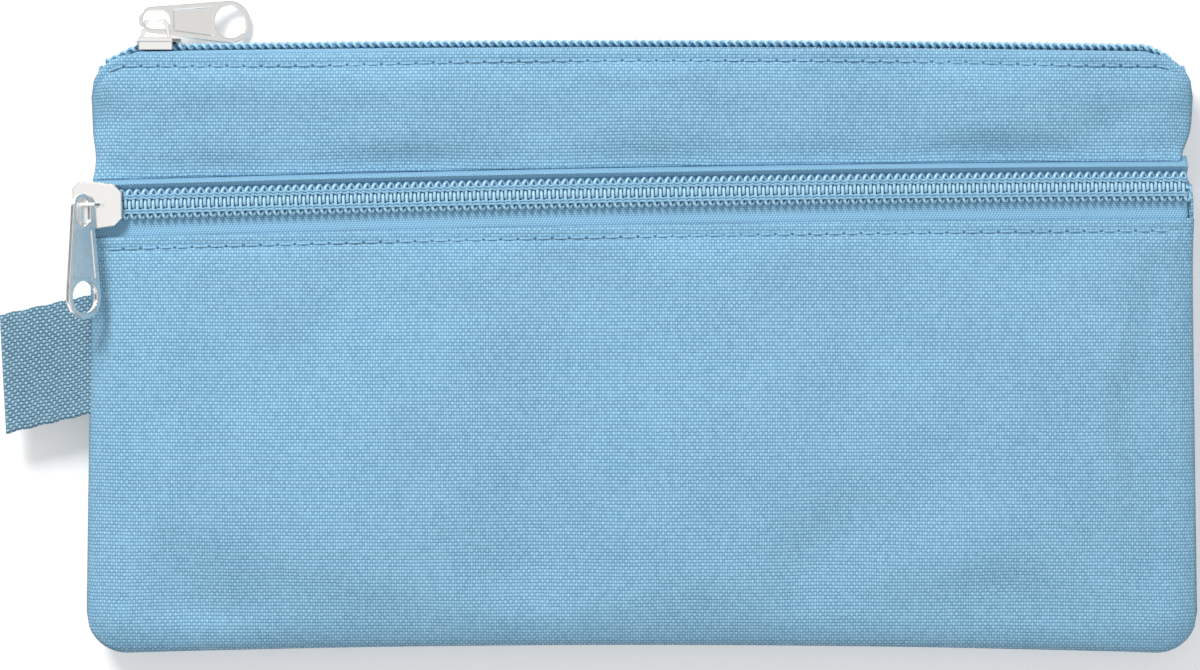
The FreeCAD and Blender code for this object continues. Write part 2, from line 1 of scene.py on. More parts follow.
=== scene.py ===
# %% [markdown]
# This scene finishes a soft zipped pencil case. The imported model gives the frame: its nodes,
# its bodies and its joints. The metal sliders and pullers keep their CAD shape and only get a
# finish. Everything soft is made again here, because cloth, zip tape and zip coils need curves,
# folds and threads that a construction model leaves out. Lengths are worked out in millimetres,
# as a maker would write them, and turned into metres where a mesh is made.
# %% Load the frame
import bpy
import numpy as np
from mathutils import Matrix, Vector


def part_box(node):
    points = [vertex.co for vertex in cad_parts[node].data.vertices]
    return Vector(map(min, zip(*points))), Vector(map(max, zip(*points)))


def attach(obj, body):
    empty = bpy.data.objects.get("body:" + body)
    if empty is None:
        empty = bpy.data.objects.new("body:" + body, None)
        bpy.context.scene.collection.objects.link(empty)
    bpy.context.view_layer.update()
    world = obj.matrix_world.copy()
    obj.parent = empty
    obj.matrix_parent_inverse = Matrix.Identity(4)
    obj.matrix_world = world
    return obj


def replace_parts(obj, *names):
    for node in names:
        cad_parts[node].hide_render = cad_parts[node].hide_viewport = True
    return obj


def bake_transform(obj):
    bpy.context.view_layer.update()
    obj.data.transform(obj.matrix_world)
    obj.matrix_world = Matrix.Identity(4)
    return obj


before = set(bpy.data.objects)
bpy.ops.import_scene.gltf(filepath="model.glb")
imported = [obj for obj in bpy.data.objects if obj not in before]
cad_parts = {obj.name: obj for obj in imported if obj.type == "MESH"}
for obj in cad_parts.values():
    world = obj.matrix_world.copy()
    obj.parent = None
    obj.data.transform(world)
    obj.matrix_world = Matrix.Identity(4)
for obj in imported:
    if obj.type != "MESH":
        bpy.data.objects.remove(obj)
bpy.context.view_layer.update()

MM = 0.001
scene = bpy.context.scene
for left_over in ("Cube", "Light", "Camera"):
    if left_over in bpy.data.objects:
        bpy.data.objects.remove(bpy.data.objects[left_over])
print("nodes:", len(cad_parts))


# %% [markdown]
# The case lies on a table and is seen from straight above, through a long lens that keeps its
# edges parallel. A long lens far away does this better than a short one close by, which would
# show the near panel larger than the seam under it.
# %% Camera
VIEW_WIDE, LENS, SENSOR = 238.3, 120.0, 36.0
AIM_X, AIM_Y, AIM_Z = -8.34, 2.78, 10.0
lens_data = bpy.data.cameras.new("camera")
lens_data.lens, lens_data.sensor_width = LENS, SENSOR
camera = bpy.data.objects.new("camera", lens_data)
camera.location = (AIM_X * MM, AIM_Y * MM, (AIM_Z + VIEW_WIDE * LENS / SENSOR) * MM)
bpy.context.collection.objects.link(camera)
scene.camera = camera
print("camera height, m:", round(camera.location.z, 3))


# %% [markdown]
# Colours are written the way that a colour picker shows them and turned into the linear values
# that a shader works with. Below 0.04 the curve is a straight line, and above it a power of 2.4.
# %% Colour helper
def tint(red, green, blue):
    """A colour picker's 0 to 255 values as linear light: c / 12.92, or ((c + 0.055) / 1.055)^2.4."""
    c = np.array([red, green, blue]) / 255.0
    linear = np.where(c <= 0.04045, c / 12.92, ((c + 0.055) / 1.055) ** 2.4)
    return (*linear.tolist(), 1.0)


print("sky blue:", [round(v, 3) for v in tint(133, 182, 213)])


# %% [markdown]
# The small wrappers below keep the node code short. Each adds one node, sets its values, links
# its inputs and hands back its first output, so that a pattern reads like a formula.
# %% Node helpers
def put(tree, socket, value):
    """Link value into socket if it is another node's output, or set it as a plain value."""
    if isinstance(value, bpy.types.NodeSocket):
        tree.links.new(value, socket)
    else:
        socket.default_value = value


def calc(tree, operation, *values, clamp=False):
    """One Math node: operation on up to three values."""
    node = tree.nodes.new("ShaderNodeMath")
    node.operation, node.use_clamp = operation, clamp
    for socket, value in zip(node.inputs, values):
        put(tree, socket, value)
    return node.outputs[0]


def blend_colour(tree, share, first, second):
    """A Mix node on colours: first where share is 0 and second where it is 1."""
    node = tree.nodes.new("ShaderNodeMix")
    node.data_type = "RGBA"
    put(tree, node.inputs[0], share)
    put(tree, node.inputs[6], first)
    put(tree, node.inputs[7], second)
    return node.outputs[2]


def cloudy(tree, vector, scale, detail=2.0):
    """Soft noise from 0 to 1. scale is in patches to the metre."""
    node = tree.nodes.new("ShaderNodeTexNoise")
    put(tree, node.inputs["Vector"], vector)
    put(tree, node.inputs["Scale"], scale)
    put(tree, node.inputs["Detail"], detail)
    return node.outputs[0]


def finish(name):
    """A new material, with its node tree and its Principled shader."""
    material = bpy.data.materials.new(name)
    material.use_nodes = True
    return material, material.node_tree, material.node_tree.nodes["Principled BSDF"]


def relief(tree, shader, height, distance, strength=1.0):
    """A Bump node on the shader's normal, whose full height is distance in metres."""
    bump = tree.nodes.new("ShaderNodeBump")
    bump.inputs["Strength"].default_value = strength
    bump.inputs["Distance"].default_value = distance
    tree.links.new(height, bump.inputs["Height"])
    tree.links.new(bump.outputs[0], shader.inputs["Normal"])
    return bump


def group(name, inputs, outputs):
    """An empty node group. inputs are (name, kind, value), outputs (name, kind)."""
    tree = bpy.data.node_groups.new(name, "ShaderNodeTree")
    for label, kind, value in inputs:
        socket = tree.interface.new_socket(label, in_out="INPUT", socket_type="NodeSocket" + kind)
        if value is not None:
            socket.default_value = value
    for label, kind in outputs:
        tree.interface.new_socket(label, in_out="OUTPUT", socket_type="NodeSocket" + kind)
    return tree, tree.nodes.new("NodeGroupInput").outputs, tree.nodes.new("NodeGroupOutput").inputs


# %% [markdown]
# The cloth is a coarse plain weave. Each crosswise thread goes over one lengthwise thread and
# under the next, so its bumps form a brick pattern. A thread's height is a rounded profile
# across it plus a cosine along it, and at each point the higher of the two threads shows. One
# group makes this for the cloth and the webbing, with its own thread spacing in each.
# %% Plain weave group
def thread_height(tree, along, across, sign):
    """A round profile across the thread plus a cosine along it, up on every second crossing:
    0.55 * sqrt(1 - (2 * (across - nearest))^2) + sign * 0.45 * cos(pi * (along + nearest))."""
    nearest = calc(tree, "ROUND", across)
    off = calc(tree, "MULTIPLY", calc(tree, "SUBTRACT", across, nearest), 2.0)
    inside = calc(tree, "SUBTRACT", 1.0, calc(tree, "MULTIPLY", off, off), clamp=True)
    round_top = calc(tree, "SQRT", inside)
    wave = calc(tree, "COSINE", calc(tree, "MULTIPLY", calc(tree, "ADD", along, nearest), np.pi))
    height = calc(tree, "MULTIPLY_ADD", wave, 0.45 * sign, calc(tree, "MULTIPLY", round_top, 0.55))
    return height, nearest


weave, given, out = group("plain_weave",
    [("Vector", "Vector", None), ("Column", "Float", 0.00052), ("Row", "Float", 0.00068),
     ("Wobble", "Float", 0.0003), ("Warp Drop", "Float", 0.3)],
    [("Height", "Float"), ("Thread", "Float")])
split = weave.nodes.new("ShaderNodeSeparateXYZ")
weave.links.new(given["Vector"], split.inputs[0])
drift = cloudy(weave, given["Vector"], 130.0, 2.0)
drift = calc(weave, "MULTIPLY", calc(weave, "SUBTRACT", drift, 0.5), given["Wobble"])
column = calc(weave, "DIVIDE", calc(weave, "ADD", split.outputs[0], drift), given["Column"])
row = calc(weave, "DIVIDE", calc(weave, "ADD", split.outputs[1], drift), given["Row"])
weft, weft_number = thread_height(weave, column, row, 1.0)
warp, warp_number = thread_height(weave, row, column, -1.0)
top = calc(weave, "MAXIMUM", weft, calc(weave, "SUBTRACT", warp, given["Warp Drop"]))
weave.links.new(top, out["Height"])
pick = weave.nodes.new("ShaderNodeCombineXYZ")
weave.links.new(weft_number, pick.inputs[0])
weave.links.new(warp_number, pick.inputs[1])
chance = weave.nodes.new("ShaderNodeTexWhiteNoise")
weave.links.new(pick.outputs[0], chance.inputs["Vector"])
weave.links.new(chance.outputs["Value"], out["Thread"])
print("plain weave nodes:", len(weave.nodes))


# %% [markdown]
# Zip tape is a fine twill: its ribs run slantwise, and they turn back every few threads into a
# herringbone. The distance across is folded with a ping-pong, which makes the turn, and a sine
# of the slanted distance makes the ribs.
# %% Herringbone group
PICK = 0.00042

twill, given, out = group("herringbone",
    [("Vector", "Vector", None), ("Rib", "Float", 0.0006), ("Turn", "Float", 0.0021),
     ("Slant", "Float", 0.6)],
    [("Height", "Float")])
split = twill.nodes.new("ShaderNodeSeparateXYZ")
twill.links.new(given["Vector"], split.inputs[0])
folded = calc(twill, "PINGPONG", split.outputs[1], given["Turn"])
slanted = calc(twill, "MULTIPLY_ADD", folded, given["Slant"], split.outputs[0])
ribs, picks = calc(twill, "DIVIDE", slanted, given["Rib"]), calc(twill, "DIVIDE", split.outputs[1], PICK)
rib = calc(twill, "SINE", calc(twill, "MULTIPLY", ribs, 2 * np.pi))
pick_row = calc(twill, "SINE", calc(twill, "MULTIPLY", picks, 2 * np.pi))
total = calc(twill, "MULTIPLY_ADD", pick_row, 0.25, calc(twill, "MULTIPLY_ADD", rib, 0.35, 0.5))
twill.links.new(total, out["Height"])
print("herringbone nodes:", len(twill.nodes))


# %% [markdown]
# Dyed cloth varies a little from thread to thread and over a hand's width. On top of that,
# this group paints the tops of the threads paler and the hollows between them deeper, which is
# painted highlight and painted shade. It turns a height into a colour in that way, and every
# soft finish here uses it.
# %% Dye and painted thread shade group
# Deep and Pale are the two ends of the colour that the height paints: painted shade in the hollows and
# painted highlight on the tops.
dye_and_thread_shade, given, out = group("dye_and_thread_shade",
    [("Vector", "Vector", None), ("Height", "Float", 0.5), ("Thread", "Float", 0.5),
     ("Deep", "Color", None), ("Pale", "Color", None), ("Uneven", "Float", 0.12)],
    [("Color", "Color"), ("Roughness", "Float")])
patch = calc(dye_and_thread_shade, "SUBTRACT", cloudy(dye_and_thread_shade, given["Vector"], 60.0, 3.0), 0.5)
fleck = calc(dye_and_thread_shade, "SUBTRACT", given["Thread"], 0.5)
# The height paints the thread tops paler and the hollows deeper, as painted highlight and painted shade.
# The patches and flecks are the cloth's own uneven dye.
level = calc(dye_and_thread_shade, "MULTIPLY_ADD", patch, given["Uneven"], given["Height"])
level = calc(dye_and_thread_shade, "MULTIPLY_ADD", fleck, given["Uneven"], level, clamp=True)
dye_and_thread_shade.links.new(blend_colour(dye_and_thread_shade, level, given["Deep"], given["Pale"]), out["Color"])
dye_and_thread_shade.links.new(calc(dye_and_thread_shade, "MULTIPLY_ADD", level, -0.18, 0.86), out["Roughness"])
print("dye nodes:", len(dye_and_thread_shade.nodes))


# %% [markdown]
# Each soft finish is a Principled shader fed by the groups. It differs from the next in its
# pattern, its two colours, which are the painted shade between its threads and the painted
# highlight on their tops, and how deep its relief is. Sheen gives the faint light edge of
# polyester, and it stays a plain value on the shader.
# %% Soft finishes
def use(tree, inner, **values):
    """Place a node group and set or link its inputs by name, with spaces written as _."""
    node = tree.nodes.new("ShaderNodeGroup")
    node.node_tree = inner
    for label, value in values.items():
        put(tree, node.inputs[label.replace("_", " ")], value)
    return node.outputs


def surface_place(tree):
    """The piece's own cloth map, in metres along and across its threads, as a vector."""
    node = tree.nodes.new("ShaderNodeUVMap")
    node.uv_map = "threads"
    return node.outputs[0]


def soft_finish(name, pattern, deep, pale, depth, uneven=0.12, **spacing):
    """A woven finish: a pattern group, the dye group with deep as painted shade and pale as painted
    highlight, and a bump of depth metres.
    """
    material, tree, shader = finish(name)
    place = surface_place(tree)
    woven = use(tree, pattern, Vector=place, **spacing)
    thread = woven["Thread"] if "Thread" in woven else 0.5
    dyed_and_shaded = use(tree, dye_and_thread_shade, Vector=place, Height=woven["Height"], Thread=thread, Deep=tint(*deep),
               Pale=tint(*pale), Uneven=uneven)
    tree.links.new(dyed_and_shaded["Color"], shader.inputs["Base Color"])
    tree.links.new(dyed_and_shaded["Roughness"], shader.inputs["Roughness"])
    shader.inputs["Sheen Weight"].default_value = 0.15
    shader.inputs["Specular IOR Level"].default_value = 0.35
    relief(tree, shader, woven["Height"], depth, 0.8)
    return material


cloth = soft_finish("cloth_weave", weave, (74, 128, 164), (166, 218, 248), 0.00022, uneven=0.2)
lining = soft_finish("cloth_inside_weave", weave, (98, 148, 182), (150, 200, 228), 0.00008,
                     Warp_Drop=0.1)
webbing = soft_finish("webbing_weave", weave, (28, 74, 106), (170, 214, 236), 0.0004,
                      Column=0.00056, Row=0.00066, Warp_Drop=0.5, Wobble=0.0001)
tape = soft_finish("tape_weave", twill, (104, 158, 194), (164, 214, 242), 0.00012, uneven=0.1)
print("woven finishes:", [m.name for m in (cloth, lining, webbing, tape)])


# %% [markdown]
# The zip's spiral is a dyed plastic filament. It is smoother than thread, so it has a soft
# shine under a thin clear coat, and its colour varies only slightly along its length. The
# sewing thread is matt and has no clear coat. Fine noise stands for the fibres of both.
# %% Filament and thread
def strand_finish(name, deep, pale, roughness, coat):
    """A round strand: the dye group over fine noise, which is also its relief, so its own uneven tone is
    painted paler where the fibres stand higher.
    """
    material, tree, shader = finish(name)
    place = tree.nodes.new("ShaderNodeTexCoord").outputs["Object"]
    fine = cloudy(tree, place, 1800.0, 1.0)
    dyed_and_shaded = use(tree, dye_and_thread_shade, Vector=place, Height=calc(tree, "MULTIPLY_ADD", fine, 0.5, 0.3),
               Thread=fine, Deep=tint(*deep), Pale=tint(*pale), Uneven=0.1)
    tree.links.new(dyed_and_shaded["Color"], shader.inputs["Base Color"])
    shader.inputs["Roughness"].default_value = roughness
    shader.inputs["Coat Weight"].default_value = coat
    shader.inputs["Coat Roughness"].default_value = 0.3
    relief(tree, shader, fine, 0.00004)
    return material


filament = strand_finish("zip_filament", (140, 194, 224), (196, 236, 254), 0.32, 0.35)
thread = strand_finish("sewing_thread", (116, 168, 200), (164, 210, 236), 0.75, 0.0)
print("strand finishes:", filament.name, thread.name)


# %% [markdown]
# The sliders and pullers are die-cast and nickel plated: a mirror-like metal with the fine
# waves and small marks that tumbling leaves. The waves are a faint bump, and the marks make
# some places a little duller than others. A Bevel node rounds the look of the sharp edges, so
# that each shows a thin line of the darker horizon, as plated edges do.
# %% Nickel
PLATED = ("top_slider_body", "top_slider_bridge", "top_puller",
          "pocket_slider_body", "pocket_slider_bridge", "pocket_puller")
nickel, tree, shader = finish("bright_nickel")
place = tree.nodes.new("ShaderNodeTexCoord").outputs["Object"]
shader.inputs["Base Color"].default_value = tint(250, 248, 245)
shader.inputs["Metallic"].default_value = 1.0
marks = cloudy(tree, place, 900.0, 3.0)
tree.links.new(calc(tree, "MULTIPLY_ADD", marks, 0.16, 0.08), shader.inputs["Roughness"])
waves = relief(tree, shader, cloudy(tree, place, 420.0, 2.0), 0.00005, 0.5)
rounded = tree.nodes.new("ShaderNodeBevel")
rounded.inputs["Radius"].default_value = 0.00028
tree.links.new(rounded.outputs[0], waves.inputs["Normal"])
for node in PLATED:
    for slot in bpy.data.objects[node].material_slots:
        slot.material = nickel
print("plated nodes:", len(PLATED))


# %% [markdown]
# The table is plain and pale. Its own colour is a light grey-white, and a little light is added
# to it only for rays that come from the camera, from metal or through glass. That turns it
# white for the camera and still keeps the soft shadow under the case.
# %% Table
def seen_directly(tree):
    """1 for a camera, glossy or transmission ray, and 0 for the light that falls on the case."""
    rays = tree.nodes.new("ShaderNodeLightPath").outputs
    seen = calc(tree, "MAXIMUM", rays["Is Camera Ray"], rays["Is Glossy Ray"])
    return calc(tree, "MAXIMUM", seen, rays["Is Transmission Ray"])


REACH, UNDER = 3, -2e-4
table_finish, tree, shader = finish("table")
grain = cloudy(tree, tree.nodes.new("ShaderNodeTexCoord").outputs["Object"], 400.0)
pale_grey = blend_colour(tree, grain, tint(236, 236, 237), tint(240, 240, 240))
tree.links.new(pale_grey, shader.inputs["Base Color"])
shader.inputs["Roughness"].default_value = 0.9
shader.inputs["Specular IOR Level"].default_value = 0.1
glow = tree.nodes.new("ShaderNodeEmission")
tree.links.new(calc(tree, "MULTIPLY", seen_directly(tree), 0.28), glow.inputs["Strength"])
both = tree.nodes.new("ShaderNodeAddShader")
tree.links.new(shader.outputs[0], both.inputs[0])
tree.links.new(glow.outputs[0], both.inputs[1])
tree.links.new(both.outputs[0], tree.nodes["Material Output"].inputs["Surface"])

table_mesh = bpy.data.meshes.new("table")
corners = [(-REACH, -REACH, UNDER), (REACH, -REACH, UNDER), (REACH, REACH, UNDER), (-REACH, REACH, UNDER)]
table_mesh.from_pydata(corners, [], [(0, 1, 2, 3)])
table = bpy.data.objects.new("table", table_mesh)
table.data.materials.append(table_finish)
bpy.context.collection.objects.link(table)
print("table finish:", table_finish.name)


# %% [markdown]
# The world lights the case evenly. It is a dome that is brightest overhead and dim at the
# horizon, and metal sees it brighter overhead still, because a mirror shows its shape only where
# what it mirrors changes. The camera itself sees plain white.
# %% World
world = bpy.data.worlds.new("studio")
scene.world = world
world.use_nodes = True
tree = world.node_tree
sky = tree.nodes["Background"]
height = tree.nodes.new("ShaderNodeSeparateXYZ")
tree.links.new(tree.nodes.new("ShaderNodeTexCoord").outputs["Generated"], height.inputs[0])
sky.inputs["Color"].default_value = (1, 1, 1, 1)
steepness = calc(tree, "ABSOLUTE", height.outputs[2])
dome = calc(tree, "MULTIPLY_ADD", steepness, 0.5, 0.12)
rays = tree.nodes.new("ShaderNodeLightPath").outputs
mirrored = calc(tree, "MULTIPLY", calc(tree, "MULTIPLY_ADD", steepness, 0.9, 0.03), rays["Is Glossy Ray"])
seen = calc(tree, "MAXIMUM", calc(tree, "MAXIMUM", dome, rays["Is Camera Ray"]), mirrored)
tree.links.new(seen, sky.inputs["Strength"])
print("world:", world.name)


# %% [markdown]
# A key lamp stands above the top left. It gives the case its shadow and brings out the weave. A
# larger and much weaker lamp on the other side fills that shadow a little.
# %% Lamps
def softbox(name, place, aim, size, power):
    """A square area lamp at place, turned so that its front faces aim."""
    lamp = bpy.data.lights.new(name, "AREA")
    lamp.size, lamp.energy = size, power
    body = bpy.data.objects.new(name, lamp)
    body.location = place
    away = (body.location - Vector(aim)).to_track_quat("Z", "Y")
    body.rotation_euler = away.to_euler()
    bpy.context.collection.objects.link(body)


softbox("key", (-0.45, 0.85, 0.95), (0, 0, 0), 0.4, 13.5)
softbox("fill", (0.8, -0.5, 0.9), (0, 0, 0), 0.8, 2.0)
scene.view_settings.view_transform = "Standard"


# %% [markdown]
# Every cloth piece here is a grid: a table of points with two directions, filled in by one
# formula on whole arrays. The helper below turns such a table into a mesh, joins its ends
# where it runs round, and stores each point's place on the flat cloth, so that the weave
# follows the cloth and not the room.
# %% Grid to mesh
def piece(name, points, quads, flat, material, body="case"):
    """A smooth mesh from points (mm), quads (four corner numbers a row) and flat places (mm)."""
    mesh = bpy.data.meshes.new(name)
    mesh.from_pydata((points * MM).tolist(), [], quads.tolist())
    layer = mesh.uv_layers.new(name="threads")
    layer.data.foreach_set("uv", (flat[quads.ravel()] * MM).astype(np.float32).ravel())
    mesh.polygons.foreach_set("use_smooth", np.ones(len(quads), bool))
    mesh.materials.append(material)
    thing = bpy.data.objects.new(name, mesh)
    bpy.context.collection.objects.link(thing)
    if body:
        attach(thing, body)
    return thing


def grid_quads(rows, columns, wrap_rows=False, wrap_columns=False):
    """Corner numbers of a grid's quads, (i, j) (i+1, j) (i+1, j+1) (i, j+1), wrapped where asked."""
    i = np.arange(rows - (not wrap_rows))
    j = np.arange(columns - (not wrap_columns))
    i, j = (numbers.ravel() for numbers in np.meshgrid(i, j, indexing="ij"))
    up, over = (i + 1) % rows, (j + 1) % columns
    return np.stack([i * columns + j, up * columns + j, up * columns + over, i * columns + over], 1)


def length_along(spot, axis):
    """The length from a grid's first point to each point along axis: its steps' lengths, added up."""
    steps = np.linalg.norm(np.diff(spot, axis=axis), axis=-1)
    return np.cumsum(np.insert(steps, 0, 0, axis), axis)


def give_wall(thing, thick, offset=-1):
    """Thicken a surface by thick mm: inwards at offset -1, and to both sides at 0."""
    wall = thing.modifiers.new("thickness", "SOLIDIFY")
    wall.thickness, wall.offset = thick * MM, offset


def sheet_from(name, x, y, z, material, thick=0.5, flip=False):
    """A cloth from three grids of x, y and z in mm. Its flat place at a grid point is the length
    of cloth to it along its row and along its column, and a Solidify gives it its thickness."""
    spot = np.stack([x, y, z], -1)
    run_u, run_v = length_along(spot, 0), length_along(spot, 1)
    middle = len(x) // 2
    flat_u = run_u - run_u[middle] + x[middle]
    flat_v = run_v - run_v[:, -1:] + y[:, -1:]
    quads = grid_quads(*x.shape)
    quads = quads[:, ::-1] if flip else quads
    cut = piece(name, spot.reshape(-1, 3), quads, np.stack([flat_u, flat_v], -1).reshape(-1, 2), material)
    give_wall(cut, thick)
    return cut


print("a 3 x 3 grid has", len(grid_quads(3, 3)), "quads")


# %% [markdown]
# The case's outline and its fullness are the same formulas that shape the frame: sides that
# taper a little, a bottom that bows in, and a seam a little over half way up the thickness. The
# cloth stands up from that seam in a curve that is steep at the edge and flat in the middle.
# %% Outline and fullness
HALF_LONG, HALF_TALL, CORNER = 109.8, 59.8, 8.5  # mm: half the outline, its corners' radius
SEAM_UP, CREST, TOP_UP = 7.8, 13.0, 13.35  # mm above the table: side seam, front crest, top edge
ZIP_AT, ZIP_TURN, ZIP_BOW, ZIP_HALF = 30.3, np.radians(1.0), 0.7, 108  # the pocket zip's line
ABOVE_ZIP, BELOW_ZIP = 5.1, 6.3  # mm from the pocket zip's middle to the cloth on each side
TOP_EASE_FROM, TOP_EASE_OVER = 43.8, 10.5  # mm: where the edge starts to rise to the top, how far


def smooth(value):
    """Smoothstep: 3 v^2 - 2 v^3, held from 0 to 1."""
    v = np.clip(value, 0, 1)
    return v * v * (3 - 2 * v)


def bell(distance, width):
    """exp(-(distance / width)^2): 1 at no distance, and 0.37 at one width."""
    return np.exp(-((distance / width) ** 2))


def side_edge(y):
    """Half the case's width at height y."""
    return HALF_LONG - 0.8 * y / HALF_TALL


def bottom_edge(x):
    """The bottom's height at x, bowed in by 1.8 mm in the middle."""
    return -(HALF_TALL + 1.8 * ((x / HALF_LONG) ** 2 - 0.5))


def zip_line(x):
    """The pocket zip's middle: up 1 degree to the right, and bowed 0.7 mm up between its ends."""
    return ZIP_AT + np.tan(ZIP_TURN) * x + ZIP_BOW * (1 - (x / ZIP_HALF) ** 2)


def seam(x, y):
    """The side seam's level: 7.8 mm, and 4.3 mm higher where the pocket zip crosses it."""
    return SEAM_UP + 4.3 * bell(y - zip_line(x), 11)


def hump(x, y, at_x, at_y, wide, tall, high):
    """A round hill or dent: high * exp(-(dx / wide)^2 - (dy / tall)^2)."""
    return high * np.exp(-(((x - at_x) / wide) ** 2) - ((y - at_y) / tall) ** 2)


def corner_drop(x):
    """How far a rounded corner pulls the edge in at x: r - sqrt(r^2 - d^2) in the last r."""
    d = np.clip(np.abs(x) - (HALF_LONG - CORNER), 0, CORNER)
    return CORNER - np.sqrt(CORNER**2 - d**2)


def even_columns(count, end=0.35):
    """Shares from -1 to 1, closer together at the ends: (1 - end) s + end sin(s pi / 2)."""
    s = np.linspace(-1, 1, count)
    return (1 - end) * s + end * np.sin(s * np.pi / 2)


def panel_grid(across, rise, low_line, high_line):
    """A panel's grid: y runs from low_line to high_line as rise does, and x is a share of the
    half width at that y. Gives x, y and the two lines' heights."""
    share, rise = np.meshgrid(even_columns(across), rise, indexing="ij")
    low, high = low_line(share * HALF_LONG), high_line(share * HALF_LONG)
    y = low + rise * (high - low)
    return share * side_edge(y), y, low, high


def front_level(x, y):
    """The front cloth's outer face: its edge level, plus its fullness times the rise to the crest.
    The fullness is 1 - ((110 - inset) / 110)^20, where inset is the way in from the seams."""
    top_ease = smooth((y - TOP_EASE_FROM) / TOP_EASE_OVER)
    beyond = np.maximum(y - zip_line(x) - ABOVE_ZIP, zip_line(x) - BELOW_ZIP - y)
    edge = seam(x, y) + 0.7 + (TOP_UP - seam(x, y) - 0.7) * top_ease
    crest = CREST - 0.95 * bell(np.maximum(beyond, 0), 6) + 0.35 * top_ease
    inner = np.clip(side_edge(y) - np.abs(x), 0, 110)
    lower = np.clip(y - bottom_edge(x), 0, 119)
    in_corner = (inner < CORNER) & (lower < CORNER)
    round_off = CORNER - np.hypot(np.clip(CORNER - inner, 0, None), np.clip(CORNER - lower, 0, None))
    inset = np.where(in_corner, round_off, np.minimum(inner, lower)).clip(0, 110)
    return edge + (crest - edge) * (1 - ((110 - inset) / 110) ** 20)


def back_level(x, y):
    """The back cloth's outer face, which lies flat on the table in its middle: the edge level less
    (1 - (x / side)^20) * (1 - (y / end)^k), with k 12 below the middle and 8 above it."""
    top_ease = smooth((y - TOP_EASE_FROM) / TOP_EASE_OVER)
    edge = seam(x, y) - 0.7 + (2.7 - seam(x, y) + 0.7) * top_ease
    full = 1 - (np.abs(x) / side_edge(y)).clip(0, 1) ** 20
    below, above = np.abs(y / bottom_edge(x)).clip(0, 1) ** 12, np.abs(y / HALF_TALL).clip(0, 1) ** 8
    full = full * (1 - np.where(y < 0, below, above))
    return np.maximum(edge - (edge + 0.3) * full, 0.0)


print("front crest, mm:", round(float(front_level(np.array(0.0), np.array(-20.0))), 2))


# %% [markdown]
# A real panel isn't the smooth hill that a formula gives. It is a flat cut held at its seams,
# so spare cloth gathers there in shallow dents. The large dents are put in as soft humps. A
# gentler unevenness comes from a cloth simulation: the panel's edges are pinned, a light pressure
# from inside fills it, and how far any point may move is capped so that it stays clear of the
# rest.
# %% Cloth simulation helper
PRESSURE, SPARE, FRAMES, SMOOTHINGS = 1.2, -0.006, 16, 24


def settle(panel, still, cap):
    """Run Blender's Cloth on the panel's grid with its rim pinned. Each point's move is smoothed
    with its neighbours', held under cap mm, and scaled by still, which is 0 at the stitches."""
    rows, columns = still.shape
    mesh = panel.data
    start = np.empty(len(mesh.vertices) * 3)
    mesh.vertices.foreach_get("co", start)
    start = start.reshape(-1, 3)
    i, j = np.divmod(np.arange(rows * columns), columns)
    rim = np.minimum(np.minimum(i, rows - 1 - i), np.minimum(j, columns - 1 - j))
    pins = panel.vertex_groups.new(name="pins")
    for ring, hold in ((0, 1.0), (1, 1.0), (2, 0.7)):
        pins.add(np.flatnonzero(rim == ring).tolist(), hold, "REPLACE")
    wall = panel.modifiers.get("thickness")
    wall.show_viewport = False
    sim = panel.modifiers.new("settle", "CLOTH")
    panel.modifiers.move(panel.modifiers.find("settle"), 0)
    s = sim.settings
    s.quality, s.mass, s.air_damping = 5, 0.1, 2.0
    s.tension_stiffness = s.compression_stiffness = 12
    s.shear_stiffness, s.bending_stiffness = 6, 0.05
    s.vertex_group_mass, s.effector_weights.gravity = "pins", 0.0
    s.use_pressure, s.uniform_pressure_force = True, PRESSURE
    s.shrink_min = s.shrink_max = SPARE
    sim.point_cache.frame_start, sim.point_cache.frame_end = 1, FRAMES
    for at in range(1, FRAMES + 1):
        scene.frame_set(at)
    evaluated = panel.evaluated_get(bpy.context.evaluated_depsgraph_get())
    end = np.empty(len(evaluated.data.vertices) * 3)
    evaluated.data.vertices.foreach_get("co", end)
    grid = ((end.reshape(-1, 3) - start) / MM).reshape(rows, columns, 3)
    for _ in range(SMOOTHINGS):
        wider = np.pad(grid, ((1, 1), (1, 1), (0, 0)), mode="edge")
        grid = (wider[2:, 1:-1] + wider[:-2, 1:-1] + wider[1:-1, 2:] + wider[1:-1, :-2]) / 4
    moved = grid.reshape(-1, 3)
    far = np.linalg.norm(moved, axis=1, keepdims=True)
    moved = moved * cap * np.tanh(far / cap) / np.maximum(far, 1e-6) * still.reshape(-1, 1)
    panel.modifiers.remove(sim)
    scene.frame_set(1)
    mesh.vertices.foreach_set("co", (start + moved * MM).ravel())
    mesh.update()
    wall.show_viewport = True
    return float(np.linalg.norm(moved, axis=1).max())


print("simulation skipped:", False)


# %% [markdown]
# The pocket panel is the large lower piece of the front. Its top edge is folded under along
# the zip tape and stitched down, which presses a shallow groove along the stitches and leaves
# a rounded lip above them. Its rim is sewn into the side and bottom seams.
# %% Front pocket panel
ACROSS, UP, GROOVE_IN, GROOVE_DEEP, GROOVE_WIDE = 241, 97, 2.4, 0.45, 0.6
POCKET_DENTS = (  # x and y of the middle, half width, half height, and height, all in mm
    (-88, -48, 14, 9, -1.3), (-66, 6, 15, 10, -0.8), (-38, -8, 16, 11, 0.5), (-52, -34, 18, 9, 0.4),
    (-14, 4, 15, 12, -0.7), (18, -16, 17, 12, 0.5), (46, 6, 15, 9, -0.8), (74, -6, 14, 12, 0.5),
    (92, 10, 9, 8, -0.7), (88, -44, 13, 12, -1.1), (-20, -44, 22, 8, -0.9), (36, -42, 18, 9, -0.7),
    (64, -26, 14, 10, -0.6), (-96, -8, 8, 24, -0.5))


